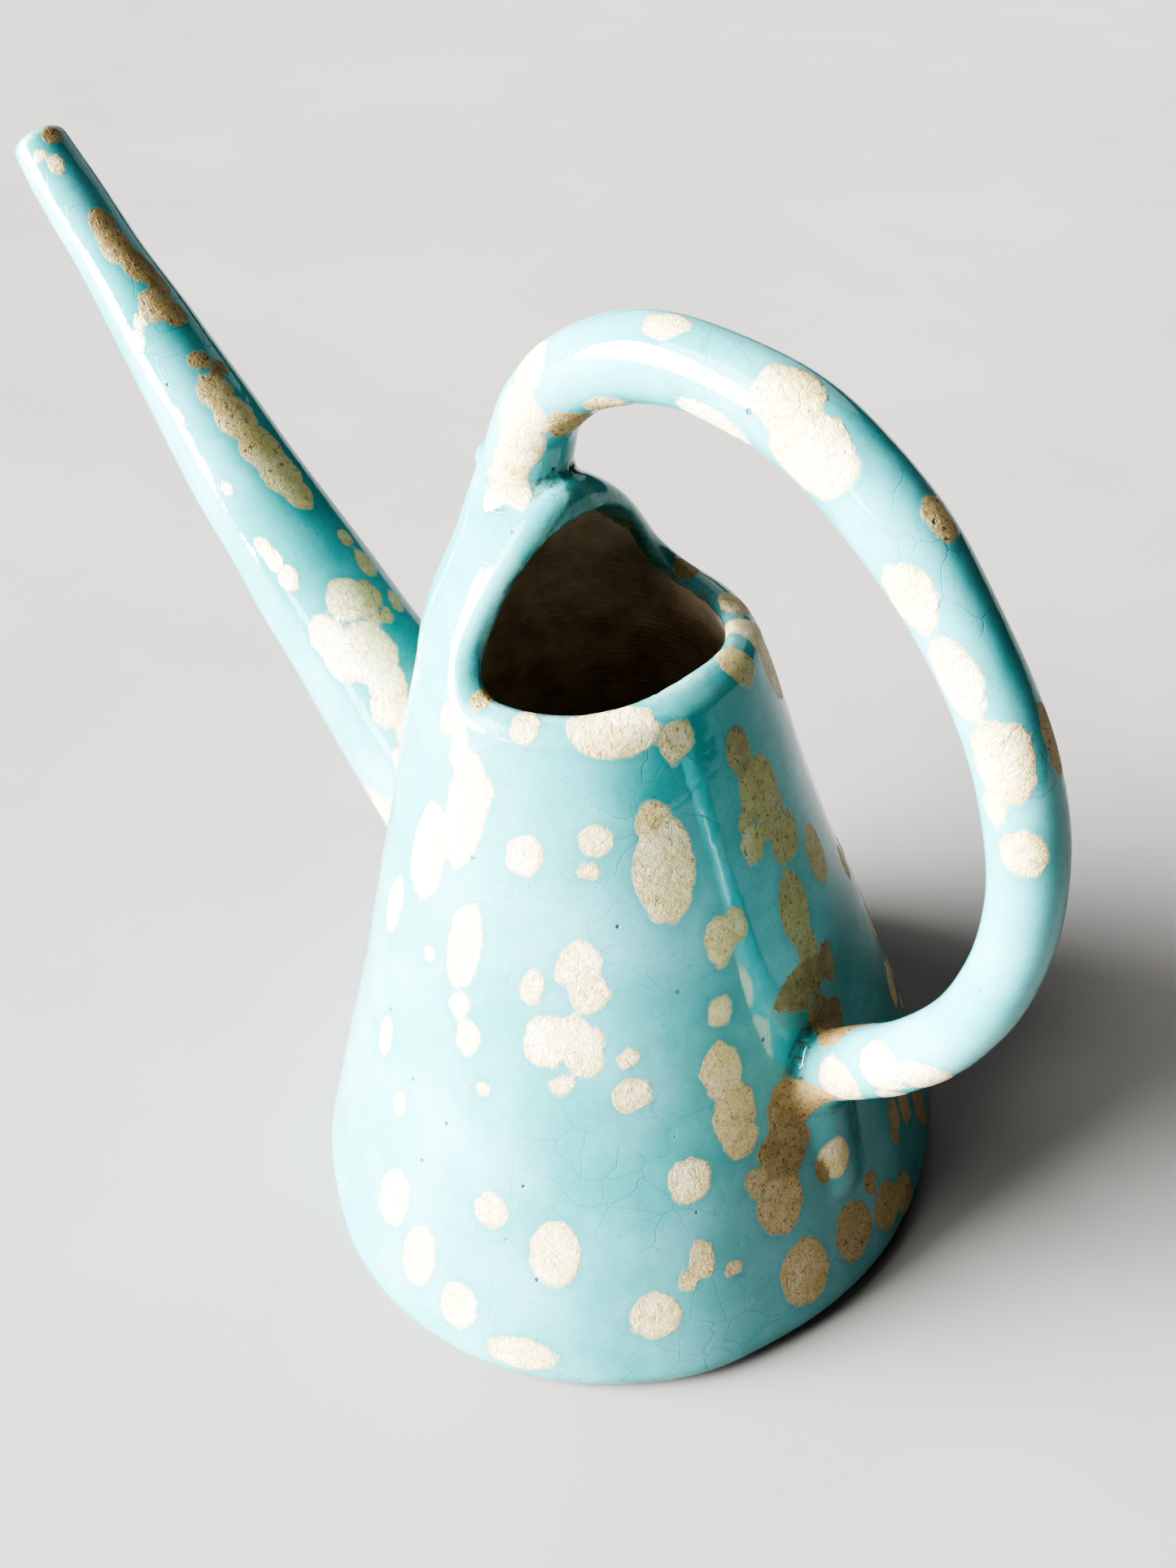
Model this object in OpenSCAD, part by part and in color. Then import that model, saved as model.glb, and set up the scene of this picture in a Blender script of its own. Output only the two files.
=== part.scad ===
// Hand-built ceramic watering can, in millimetres.
// The origin is the centre of the resting face and +Z is up.
// The spout runs toward -X and the handle toward +X, and y = 0 is the middle plane.
// Each module is one piece of clay, as a potter makes it before they are luted together.

/* [Body] */
// Mean radius of the body just above its rounded bottom edge
base_radius = 75; // [60:1:90]
// Height of the rounded bottom edge
edge_round = 6; // [3:0.5:7]
// Inward slope of the wall: radius lost for each millimetre of height
taper = 0.329; // [0.3:0.001:0.34]
// How much that slope eases off with height
taper_curve = 0.00013; // [0:0.00001:0.0003]
// How far the body leans toward the spout for each millimetre of height
lean = 0.115; // [0:0.005:0.2]
// Ovalness of the foot, as a fraction of its radius
ovalness = 0.054; // [0:0.002:0.1]
// Height at which the body has become round
round_height = 150; // [140:5:180]
// Thickness of the floor
floor_thickness = 8; // [7.5:0.5:12]
// Wall thickness where it stands on the floor
wall_bottom = 7; // [4:0.5:10]
// Wall thickness at the rim
wall_top = 7; // [4:0.5:8]
// Height where the plain wall ends and the rim and the hood begin
wall_height = 136; // [130:1:140]

/* [Mouth] */
// Height of the low rim at its two sides
rim_low = 139.2; // [138:0.1:142]
// Extra height of the rim where it passes under the handle
rim_rise = 3; // [0:0.5:6]
// Angle from the handle side at which the rim stops and the hood starts
rim_end_angle = 93; // [88:1:96]
// Height of the top of the arched opening
arch_top = 164; // [160:1:168]
// X position of the face of the arched opening
arch_x = -20; // [-24:0.5:-16]
// Height at which the outside of the hood would close to a point
hood_top = 171; // [170:1:176]

/* [Handle] */
// Radius of the handle where it leaves the hood
handle_r_top = 7.7; // [6:0.1:9]
// Radius of the handle over the middle of the loop
handle_r_mid = 7.1; // [5:0.1:9]
// Thinnest radius, low on the outer side of the loop
handle_r_thin = 6.3; // [5:0.1:8]
// Radius where the handle meets its lower root
handle_r_low = 7.1; // [5:0.1:8]
// Half width of the lower root where it is smeared on to the body
root_half_width = 6.5; // [5:0.5:12]
// Half height of the lower root on the body
root_half_height = 11.5; // [8:0.5:16]
// Height of the middle of the lower root on the body
root_z = 54; // [50:1:60]
// Height where the thumbed-down tail fades out
tail_end_z = 28; // [10:1:34]
// Half width of the tail at its top
tail_half_width = 6.5; // [4:0.5:8]
// How far the top of the tail stands off the body
tail_height = 3; // [1:0.25:4]

/* [Spout] */
// Outside radius of the spout at the body
spout_r = 19; // [17:0.5:21]
// Radius lost for each millimetre along the spout
spout_taper = 0.072; // [0.06:0.001:0.075]
// Wall thickness of the spout at the body
spout_wall_root = 5.5; // [3:0.5:8]
// Wall thickness of the spout at the tip
spout_wall_tip = 2.2; // [1.8:0.1:3]
// Length of the rounded lip at the tip
lip_length = 3.5; // [2:0.5:6]
// Reach of the slip fillet round the foot of the spout
collar_reach = 4; // [2:0.5:6]

/* [Hidden] */

glaze = [0.45, 0.72, 0.72];
cream = [0.86, 0.82, 0.70];
clay = [0.62, 0.50, 0.38];

// How many points go round each kind of section
body_cols = 96;
hood_cols = 40;
rim_cols = 16;
crown_cols = 36;
loop_cols = 28;
tail_cols = 11;
spout_cols = 40;
// How many rows run along each piece
wall_rows = 12;
rim_rows = 40;
loop_steps = 16;
tail_rows = 10;
spout_rows = 12;
// A small step for measuring a curve's direction
nudge = 0.01;

// Middle line of the handle, as three curves in the plane y = 0 that run on smoothly
loop_a = [[-29, 0, 179], [-26, 0, 189], [-8, 0, 205.6], [22, 0, 200]];
loop_b = [[22, 0, 200], [49, 0, 195], [81, 0, 160], [82, 0, 127]];
loop_c = [[82, 0, 127], [83, 0, 105], [76, 0, 86], [64, 0, 73]];
// Front and back outlines of the crown, from the top of the arch to the foot of the handle
crown_front = [[arch_x + 1.5, 0, arch_top], [-18.5, 0, 171], [-25.5, 0, 169], [-21.8, 0, 176.3]];
crown_back = [[-42.4, 0, arch_top], [-40.5, 0, 170], [-38.4, 0, 176], [-36.2, 0, 181.7]];
// Middle line of the spout, a curve that steepens slightly toward the tip
spout_axis = [[-61, 0, 71], [-135, 0, 137], [-188, 0, 196]];

// ---- general functions ----

function unit(v) = v / norm(v);
function mix(a, b, f) = a + (b - a) * f;
function bezier3(p, t) = p[0] * pow(1 - t, 2) + p[1] * 2 * t * (1 - t) + p[2] * t * t;
function bezier4(p, t) = p[0] * pow(1 - t, 3) + p[1] * 3 * t * pow(1 - t, 2)
    + p[2] * 3 * t * t * (1 - t) + p[3] * pow(t, 3);
// Across a curve whose direction is d, in the plane y = 0
function across(d) = [d.z, 0, -d.x];
function join(rows) = [for (r = rows) each r];

// Triangles between neighbouring rings of points; wrap joins the last ring to the first
function strip(rows, cols, wrap) = [
    for (i = [0 : (wrap ? rows - 1 : rows - 2)])
        for (j = [0 : cols - 1])
            let (a = i * cols + j, b = i * cols + (j + 1) % cols,
                c = ((i + 1) % rows) * cols + (j + 1) % cols, d = ((i + 1) % rows) * cols + j)
                each [[a, d, b], [b, d, c]]];

// Solid skinned over rings, with a flat cap at each end
module capped(rings) {
    n = len(rings[0]);
    last = (len(rings) - 1) * n;
    polyhedron(join(rings), concat(
        strip(len(rings), n, false),
        [for (j = [1 : n - 2]) [0, j, j + 1]],
        [for (j = [1 : n - 2]) [last, last + j + 1, last + j]]), convexity = 6);
}

// The same for rings that go out along one side of a wall and back along the other
module folded(rings) {
    n = len(rings[0]);
    last = (len(rings) - 1) * n;
    pairs = [for (j = [0 : n / 2 - 2]) j];
    polyhedron(join(rings), concat(
        strip(len(rings), n, false),
        [for (j = pairs) each [[j, j + 1, n - 2 - j], [j, n - 2 - j, n - 1 - j]]],
        [for (j = pairs) each [[last + j, last + n - 2 - j, last + j + 1],
            [last + j, last + n - 1 - j, last + n - 2 - j]]]), convexity = 8);
}

// Solid that closes on itself both ways, like a tyre
module looped(rings) {
    polyhedron(join(rings), strip(len(rings), len(rings[0]), true), convexity = 8);
}

// ---- body ----

function radius_at(z) = base_radius - taper * (z - edge_round) + taper_curve * pow(z - edge_round, 2);
function oval_at(z) = ovalness * (1 - z / round_height);
// Point on the body wall at height z and angle b, moved outward by out
function on_body(z, b, out = 0) = [
    -lean * z + (radius_at(z) + out) * (1 - oval_at(z)) * cos(b),
    (radius_at(z) + out) * (1 + oval_at(z)) * sin(b),
    z];
// Point on the handle side of the body at height z and sideways offset y
function on_front(y, z, out = 0) = [
    -lean * z + (1 - oval_at(z)) * sqrt(pow(radius_at(z) + out, 2) - pow(y / (1 + oval_at(z)), 2)), y, z];
// Above zero outside the body's outer face, below zero inside it
function outside(p) = norm([(p.x + lean * p.z) / (1 - oval_at(p.z)), p.y / (1 + oval_at(p.z))])
    - radius_at(p.z);
function body_ring(z, out = 0) = [for (j = [0 : body_cols - 1]) on_body(z, j * 360 / body_cols, out)];
// How far the rounded bottom edge is pulled in at height z
function edge_inset(z) = z < edge_round ? edge_round * (1 - sqrt(1 - pow(1 - z / edge_round, 2))) : 0;

module base_slab()
    color(clay)
        capped(concat(
            [for (a = [0 : 18 : 90]) let (z = edge_round * (1 - cos(a))) body_ring(z, -edge_inset(z))],
            [body_ring(floor_thickness)]));

function wall_z(i) = mix(floor_thickness, wall_height, i / wall_rows);
function wall_at(i) = mix(wall_bottom, wall_top, i / wall_rows);

module body_wall()
    color(glaze)
        difference() {
            looped(concat([for (i = [0 : wall_rows]) body_ring(wall_z(i))],
                [for (i = [wall_rows : -1 : 0]) body_ring(wall_z(i), -wall_at(i))]));
            pouring_hole();
        }

// Hole through the wall in line with the foot of the spout
module pouring_hole() {
    reach = 14;
    d = spout_dir(0);
    translate(spout_at(0) - d * reach)
        rotate([0, -atan2(-d.x, d.z), 0])
            cylinder(r = spout_r - spout_wall_root, h = 2 * reach, $fn = 48);
}

// ---- rim and hood ----

function rim_crest(b) = rim_low + rim_rise * pow(max(cos(b), 0), 4);
// Half-oval section standing on the wall
function rim_section(b) = [for (k = [0 : rim_cols - 1])
    let (a = 180 * k / (rim_cols - 1))
        on_body(mix(wall_height, rim_crest(b), sin(a)), b, (cos(a) - 1) * wall_top / 2)];

module rim_lip()
    color(cream)
        capped([for (i = [0 : rim_rows]) rim_section(mix(rim_end_angle, -rim_end_angle, i / rim_rows))]);

rim_radius = radius_at(wall_height);
rim_center = -lean * wall_height;
// Fraction of the way up the hood
function hood_f(z, top) = (z - wall_height) / (top - wall_height);
// Half width of the outside of the hood
function hood_w(z) = rim_radius * pow(1 - pow(hood_f(z, hood_top), 1.1), 0.6);
// The middle of each slice moves from the body's axis to the face of the arch
function hood_x(z) = mix(rim_center, arch_x, min(1, 2.4 * hood_f(z, arch_top)));
// The back carries on the lean of the wall up into the handle
function hood_back(z) = mix(rim_center - rim_radius, crown_back[0].x, pow(hood_f(z, arch_top), 1.3));
// Half width of the arched opening, which is also the inside of the hood
function arch_w(z) = (rim_radius - wall_top) * pow(1 - 0.985 * hood_f(z, arch_top), 0.38);

function hood_side(z, from, to, a, w) = [for (k = [0 : hood_cols - 1])
    let (b = mix(from, to, k / (hood_cols - 1)))
        [hood_x(z) + a * cos(b), w * sin(b), z]];
function hood_slice(z) = let (a = hood_x(z) - hood_back(z))
    concat(hood_side(z, 90, 270, a, hood_w(z)), hood_side(z, 270, 90, a - wall_top, arch_w(z)));

module hood()
    color(glaze)
        folded([for (f = [0 : 0.1 : 1]) hood_slice(mix(wall_height, arch_top, sin(90 * f)))]);

// ---- handle ----

// t runs from 0 at the hood to 3 at the lower root
function loop_at(t) = t < 1 ? bezier4(loop_a, t) : t < 2 ? bezier4(loop_b, t - 1) : bezier4(loop_c, t - 2);
function loop_dir(t) = unit(loop_at(min(3, t + nudge)) - loop_at(max(0, t - nudge)));
function loop_r(t) = lookup(t, [[0, handle_r_top], [0.8, handle_r_mid], [1.5, handle_r_mid],
    [2.5, handle_r_thin], [3, handle_r_low]]);
function loop_ring(t) = [for (j = [0 : loop_cols - 1]) let (a = j * 360 / loop_cols)
    loop_at(t) + across(loop_dir(t)) * loop_r(t) * cos(a) + [0, loop_r(t) * sin(a), 0]];

module handle_loop()
    color(glaze)
        capped([for (t = [0 : 1 / loop_steps : 3]) loop_ring(t)]);

// The crown of the hood, drawn up into the handle: D-shaped below and round above
function crown_ring(f) = let (
        front = bezier4(crown_front, f),
        back = bezier4(crown_back, f),
        middle = mix(front, back, 0.5 - 0.44 * pow(1 - f, 3)),
        w = mix(handle_r_top, hood_w(arch_top), pow(1 - f, 2)))
    [for (j = [0 : crown_cols - 1]) let (a = j * 360 / crown_cols)
        mix(middle, cos(a) > 0 ? front : back, abs(cos(a))) + [0, w * sin(a), 0]];

module handle_upper_root()
    color(cream)
        capped([for (f = [0 : 0.1 : 1]) crown_ring(f)]);

// The lower root spreads from the round handle on to the body
function landing(a) = on_front(root_half_width * sin(a), root_z + root_half_height * cos(a));
function root_ring(f) = let (d = loop_dir(3), lift = [3.5, 0, 1])
    [for (j = [0 : loop_cols - 1]) let (
        a = j * 360 / loop_cols,
        p = loop_at(3) + across(d) * loop_r(3) * cos(a) + [0, loop_r(3) * sin(a), 0],
        q = landing(a))
        bezier4([p, p + d * 4, q + lift, q], f)];

module handle_lower_root()
    color(cream)
        capped([for (f = [0 : 0.125 : 1]) root_ring(f)]);

// Low ridge on the body that narrows and sinks as it goes down
function tail_section(f) = let (
        z = mix(root_z - root_half_height, tail_end_z, f),
        w = tail_half_width * (1 - 0.45 * f),
        h = tail_height * pow(1 - 0.92 * f, 0.8),
        spread = [for (k = [0 : tail_cols - 1]) 1 - 2 * k / (tail_cols - 1)])
    concat([for (s = spread) on_front(w * s, z, h * pow(cos(90 * s), 2) + 0.02)],
        [for (k = [tail_cols - 1 : -1 : 0]) on_front(w * spread[k], z)]);

module handle_tail()
    color(cream)
        folded([for (i = [0 : tail_rows]) tail_section(i / tail_rows)]);

// ---- spout ----

// s runs from 0 where the middle line leaves the body to 1 at the tip
function spout_at(s) = bezier3(spout_axis, s);
function spout_dir(s) = unit(spout_at(s + nudge) - spout_at(s - nudge));
spout_length = norm(spout_axis[2] - spout_axis[0]);
lip_start = 1 - lip_length / spout_length;
function spout_outer(s) = spout_r - spout_taper * spout_length * s;
function spout_bore(s) = spout_outer(s) - mix(spout_wall_root, spout_wall_tip, s);
// Point at angle a round the spout and radius r
function round_spout(s, a, r) = spout_at(s) + across(spout_dir(s)) * r * cos(a) + [0, r * sin(a), 0];
// Radius of the outer face or the bore, grown by extra
function spout_face(s, bore, extra) = (bore ? spout_bore(s) : spout_outer(s)) + extra;
// Where the line along that face at angle a comes out of the body, found by halving
function spout_root(a, bore, extra = 0, lo = -0.25, hi = 0.35, turns = 16) = let (m = (lo + hi) / 2)
    turns == 0 ? m
        : outside(round_spout(m, a, spout_face(m, bore, extra))) > 0
            ? spout_root(a, bore, extra, lo, m, turns - 1)
            : spout_root(a, bore, extra, m, hi, turns - 1);
function spout_ring(f, bore) = [for (j = [0 : spout_cols - 1]) let (
    a = j * 360 / spout_cols,
    s = mix(spout_root(a, bore), lip_start, f))
        round_spout(s, a, spout_face(s, bore, 0))];

module spout_tube()
    color(glaze)
        looped(concat([for (i = [0 : spout_rows]) spout_ring(i / spout_rows, false)],
            [for (i = [spout_rows : -1 : 0]) spout_ring(i / spout_rows, true)]));

function lip_ring(k) = let (
    s = mix(lip_start, 1, sin(k)),
    r = mix(spout_bore(lip_start), spout_outer(lip_start), (1 + cos(k)) / 2))
        [for (j = [0 : spout_cols - 1]) round_spout(s, j * 360 / spout_cols, r)];

module spout_lip()
    color(cream)
        looped([for (k = [0 : 22.5 : 180]) lip_ring(k)]);

// Hollow-faced fillet: up the spout, along the body, and a curve between the two
function collar_ring(a) = let (
    s0 = spout_root(a, false),
    corner = round_spout(s0, a, spout_outer(s0)),
    s1 = s0 + collar_reach / spout_length,
    up = round_spout(s1, a, spout_outer(s1) + 0.15),
    s2 = spout_root(a, false, collar_reach),
    along = round_spout(s2, a, spout_outer(s2) + collar_reach))
        concat([corner],
            [for (f = [0 : 0.25 : 1]) bezier3([up, mix(corner, (up + along) / 2, 0.2), along], f)]);

module spout_collar()
    color(cream)
        looped([for (j = [0 : spout_cols - 1]) collar_ring(j * 360 / spout_cols)]);

base_slab();
body_wall();
rim_lip();
hood();
handle_upper_root();
handle_loop();
handle_lower_root();
handle_tail();
spout_tube();
spout_lip();
spout_collar();
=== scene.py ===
"""A hand-built ceramic watering can: turquoise glaze with matte cream patches over a buff clay.

The whole can is one smooth skin, worked out from a distance function in millimetres, and then
parted along the joins of the clay into pieces that stand for the nodes of the CAD model.
The origin is the centre of the foot, +Z is up, the spout runs toward -X and the handle toward +X.
"""

import math

import bpy
import numpy as np
import openvdb
from mathutils import Matrix, Vector


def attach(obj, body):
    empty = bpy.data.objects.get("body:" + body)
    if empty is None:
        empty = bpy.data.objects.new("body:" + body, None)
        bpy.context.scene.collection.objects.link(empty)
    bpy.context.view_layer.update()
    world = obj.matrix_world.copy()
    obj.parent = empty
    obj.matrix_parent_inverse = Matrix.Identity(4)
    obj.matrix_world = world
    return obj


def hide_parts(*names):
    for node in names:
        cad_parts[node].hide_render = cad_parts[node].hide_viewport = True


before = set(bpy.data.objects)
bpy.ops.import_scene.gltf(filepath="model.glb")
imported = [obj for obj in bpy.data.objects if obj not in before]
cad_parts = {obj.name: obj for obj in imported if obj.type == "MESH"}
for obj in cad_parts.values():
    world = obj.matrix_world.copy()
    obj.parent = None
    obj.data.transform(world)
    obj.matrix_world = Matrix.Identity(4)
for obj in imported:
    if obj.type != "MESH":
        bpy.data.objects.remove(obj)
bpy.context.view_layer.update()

MM = 0.001
FAR = 60.0

# ---------------------------------------------------------------- shape of the body, in mm

BASE_RADIUS = 75.0
EDGE_ROUND = 6.0
TAPER = 0.329
TAPER_CURVE = 0.00013
LEAN = 0.115
OVALNESS = 0.054
ROUND_HEIGHT = 150.0
FLOOR = 8.0
FLOOR_FILLET = 6.0
WALL = 7.0
CONE_TOP = 130.0
DOME_TOP = 171.0
ARCH_TOP = 164.0
RIM_LOW = 139.6
RIM_RISE = 3.0

# The wall turns into the hood between these two heights
HOOD_BLEND = (130.0, 142.0)
HOOD_START = 136.0
ARCH_X = -20.0
# x of the back of the hood where it starts and under its crown
HOOD_BACK = (-49.9, -42.3)
# x of the face of the arch at its foot and at its top
ARCH_FACE = (-20.0, -18.0)

# ---------------------------------------------------------------- shape of the handle and the spout

# (x, z) of the middle line, four points to each cubic piece: post, top, outside, bottom, root
HANDLE = [
    [(-34.5, 157), (-33.2, 165), (-31.3, 171.8), (-29, 179)],
    [(-29, 179), (-26, 189), (-8, 205.6), (22, 200)],
    [(22, 200), (49, 195), (81, 160), (82, 127)],
    [(82, 127), (83, 105), (76, 86), (64, 73)],
    [(64, 73), (58, 66.5), (51, 59.5), (45, 53.5)],
]
# (place along the handle, radius): -1 inside the hood, 0 at its foot, 3 at the lower root
HANDLE_RADIUS = [(-1, 9), (-0.3, 8.5), (0, 7.9), (0.8, 7.1), (1.5, 7.1), (2.5, 6.3), (3, 7.1), (4, 8)]
SPOUT = [(-61, 71), (-135, 137), (-188, 196)]
SPOUT_LENGTH = math.dist(SPOUT[0], SPOUT[2])
SPOUT_RADIUS = 19.0
SPOUT_TAPER = 0.072
SPOUT_WALL = (5.5, 2.2)
TAIL_RADIUS = 6.5
TAIL_TOP = 52.0
TAIL_LENGTH = 23.0
TAIL_HEIGHT = 3.0


def smooth_table(x, points):
    """A smooth curve through a few (position, value) points."""
    xs, ys = np.array(points, float).T
    slope = np.gradient(ys, xs)
    i = np.clip(np.searchsorted(xs, x) - 1, 0, len(xs) - 2)
    step = xs[i + 1] - xs[i]
    t = np.clip((x - xs[i]) / step, 0, 1)
    start = ys[i] * (1 + 2 * t) * (1 - t) ** 2 + slope[i] * step * t * (1 - t) ** 2
    end = ys[i + 1] * t * t * (3 - 2 * t) + slope[i + 1] * step * t * t * (t - 1)
    return start + end


def smoothstep(low, high, x):
    """0 below low, 1 above high and smooth between them."""
    t = np.clip((x - low) / (high - low), 0, 1)
    return t * t * (3 - 2 * t)


def join(a, b, r):
    """The union of two distances with a fillet of radius r where they meet."""
    return np.maximum(r, np.minimum(a, b)) - np.hypot(np.maximum(r - a, 0), np.maximum(r - b, 0))


def trim(a, b, r):
    """The part that two distances share, with its edge rounded to radius r."""
    return -join(-a, -b, r)


def wall_radius(z):
    """Mean radius of the body at height z."""
    return BASE_RADIUS - TAPER * (z - EDGE_ROUND) + TAPER_CURVE * (z - EDGE_ROUND) ** 2


def oval_at(z):
    """How much wider the body is across than along, at height z."""
    return OVALNESS * (1 - z / ROUND_HEIGHT)


def slice_distance(x, y, centre, width, front, back):
    """Distance in the horizontal plane from an oval with its own reach to the front and the back."""
    dx = x - centre
    reach = np.where(dx > 0, front - centre, centre - back)
    q = np.hypot(dx / reach, y / width)
    rho = np.hypot(dx, y)
    local = np.where(q > 1e-6, rho / np.maximum(q, 1e-6), width)
    return rho - local


def hood_height(z, top):
    """How far up the hood z is, from 0 at its start to 1 at top."""
    return np.clip((z - HOOD_START) / (top - HOOD_START), 0, 1)


def hood_width(z, thickness, top, bend, power):
    """Half width of the hood: an arch on the wall's radius, run smoothly into the wall below it."""
    blend = smoothstep(*HOOD_BLEND, z)
    wall = wall_radius(z) * (1 + oval_at(z)) - thickness
    arch = (wall_radius(HOOD_START) - thickness) * (1 - hood_height(z, top) ** bend) ** power
    return np.sqrt(np.maximum((1 - blend) * wall ** 2 + blend * arch ** 2, 1))


def slice_centre(z):
    """x of the middle of a slice: it leans back with the wall and ends over the arch."""
    blend = smoothstep(CONE_TOP, 154, z)
    return -LEAN * z * (1 - blend) + ARCH_X * blend


def slice_back(z):
    """x of the outside of the back, which rises more steeply in the hood."""
    wall = -LEAN * z - wall_radius(z) * (1 - oval_at(z))
    rise = np.maximum(z - HOOD_START, 0) / (ARCH_TOP - HOOD_START)
    hood = HOOD_BACK[0] + (HOOD_BACK[1] - HOOD_BACK[0]) * rise ** 1.3
    blend = smoothstep(*HOOD_BLEND, z)
    return wall * (1 - blend) + hood * blend


def outer_slice(x, y, z):
    """Horizontal distance from the outside of the body and hood."""
    front = -LEAN * z + wall_radius(z) * (1 - oval_at(z))
    centre = slice_centre(z)
    width = hood_width(z, 0, DOME_TOP, 1.1, 0.6)
    return slice_distance(x, y, centre, width, np.maximum(front, centre + 5), slice_back(z))


def inner_slice(x, y, z):
    """Horizontal distance from the hollow inside the body and hood."""
    front = -LEAN * z + wall_radius(z) * (1 - oval_at(z)) - WALL
    centre = slice_centre(z)
    width = hood_width(z, WALL, ARCH_TOP, 1.0, 0.38)
    vault = np.maximum(slice_back(z) + WALL, centre - width - 1)
    back = np.where(z < HOOD_START, slice_back(z) + WALL, vault)
    return slice_distance(x, y, centre, width, np.maximum(front, centre + 5), back)


def true_distance(flat, x, y, z):
    """Turns a horizontal distance into one square to the surface, from how it changes with height."""
    step = 0.5
    here = flat(x, y, z)
    slope = (flat(x, y, z + step) - flat(x, y, z - step)) / (2 * step)
    return here / np.sqrt(1 + slope * slope)


def bezier(points, t):
    """Point on a quadratic or cubic curve of (x, z) points, as x and z."""
    p = np.array(points, float)
    n = len(p) - 1
    out = np.zeros(t.shape + (2,))
    for k in range(n + 1):
        out += (math.comb(n, k) * t ** k * (1 - t) ** (n - k))[..., None] * p[k]
    return out


def handle_line(t):
    """Middle line of the handle; t runs from -1 to 4."""
    out = np.zeros(t.shape + (2,))
    for k, piece in enumerate(HANDLE):
        inside = (np.floor(t).astype(int) + 1).clip(0, len(HANDLE) - 1) == k
        out[inside] = bezier(piece, t[inside] - (k - 1))
    return out


def handle_radius(t):
    """Radius of the handle at t."""
    return smooth_table(t, HANDLE_RADIUS)


def spout_line(s):
    """Middle line of the spout; s is 0 at the body's face and 1 at the tip."""
    return bezier(SPOUT, s)


def spout_radius(s):
    """Outside radius of the spout at s."""
    return SPOUT_RADIUS - SPOUT_TAPER * SPOUT_LENGTH * s


def bore_radius(s):
    """Radius of the hollow in the spout at s."""
    return spout_radius(s) - (SPOUT_WALL[0] + (SPOUT_WALL[1] - SPOUT_WALL[0]) * s)


def tube_distance(points, line, radius, start, end, steps):
    """Distance from a round tube round a line in the plane y = 0."""
    out = np.full(len(points), FAR)
    ts = np.linspace(start, end, steps + 1)
    path = line(ts)
    margin = 20 + float(np.max(radius(ts)))
    low = path.min(axis=0) - margin
    high = path.max(axis=0) + margin
    x = points[:, 0]
    z = points[:, 2]
    near = (x > low[0]) & (x < high[0]) & (z > low[1]) & (z < high[1]) & (np.abs(points[:, 1]) < margin)
    flat = points[near][:, [0, 2]]
    y = points[near][:, 1]
    best = np.full(len(flat), 1e9)
    at = np.zeros(len(flat))
    for k in range(steps):
        along = path[k + 1] - path[k]
        f = np.clip((flat - path[k]) @ along / (along @ along), 0, 1)
        gap = flat - path[k] - f[:, None] * along
        square = gap[:, 0] ** 2 + gap[:, 1] ** 2
        closer = square < best
        best = np.where(closer, square, best)
        at = np.where(closer, ts[k] + f * (ts[k + 1] - ts[k]), at)
    nudge = 1e-3
    for _ in range(2):
        here = line(at)
        slope = (line(at + nudge) - line(at - nudge)) / (2 * nudge)
        move = ((flat - here) * slope).sum(axis=1) / np.maximum((slope ** 2).sum(axis=1), 1e-9)
        at = np.clip(at + move, start, end)
    gap = flat - line(at)
    out[near] = np.sqrt(gap[:, 0] ** 2 + gap[:, 1] ** 2 + y * y) - radius(at)
    return out


def tail_radius(t):
    """The tail narrows from the lower root down."""
    return TAIL_RADIUS * (1 - 0.35 * t)


def tail_line(t):
    """Middle line of the tail below the lower root; it sinks into the wall as it goes down."""
    z = TAIL_TOP - TAIL_LENGTH * t
    face = -LEAN * z + wall_radius(z) * (1 - oval_at(z))
    height = TAIL_HEIGHT * np.maximum(1 - t, 0) ** 0.8
    return np.stack([face - tail_radius(t) + height, z], axis=-1)


def waves(points):
    """The slow unevenness of a wall squeezed up by hand."""
    rng = np.random.default_rng(11)
    out = np.zeros(len(points))
    for wavelength, size in ((85, 0.18), (60, 0.15), (44, 0.11), (33, 0.08), (25, 0.06), (19, 0.04)):
        for _ in range(2):
            direction = rng.normal(size=3)
            direction *= 2 * math.pi / wavelength / np.linalg.norm(direction)
            out += size * np.sin(points @ direction + rng.uniform(0, 2 * math.pi))
    return out


def mouth(x, y, z):
    """Below zero where clay is kept: under the rim, and behind the face of the arch."""
    away = np.hypot(x + LEAN * z, y)
    toward_handle = np.maximum((x + LEAN * z) / np.maximum(away, 1e-6), 0)
    crest = RIM_LOW + RIM_RISE * toward_handle ** 4
    face = ARCH_FACE[0] + (ARCH_FACE[1] - ARCH_FACE[0]) * smoothstep(148, ARCH_TOP, z)
    return join(z - crest, x - face, 7)


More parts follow.
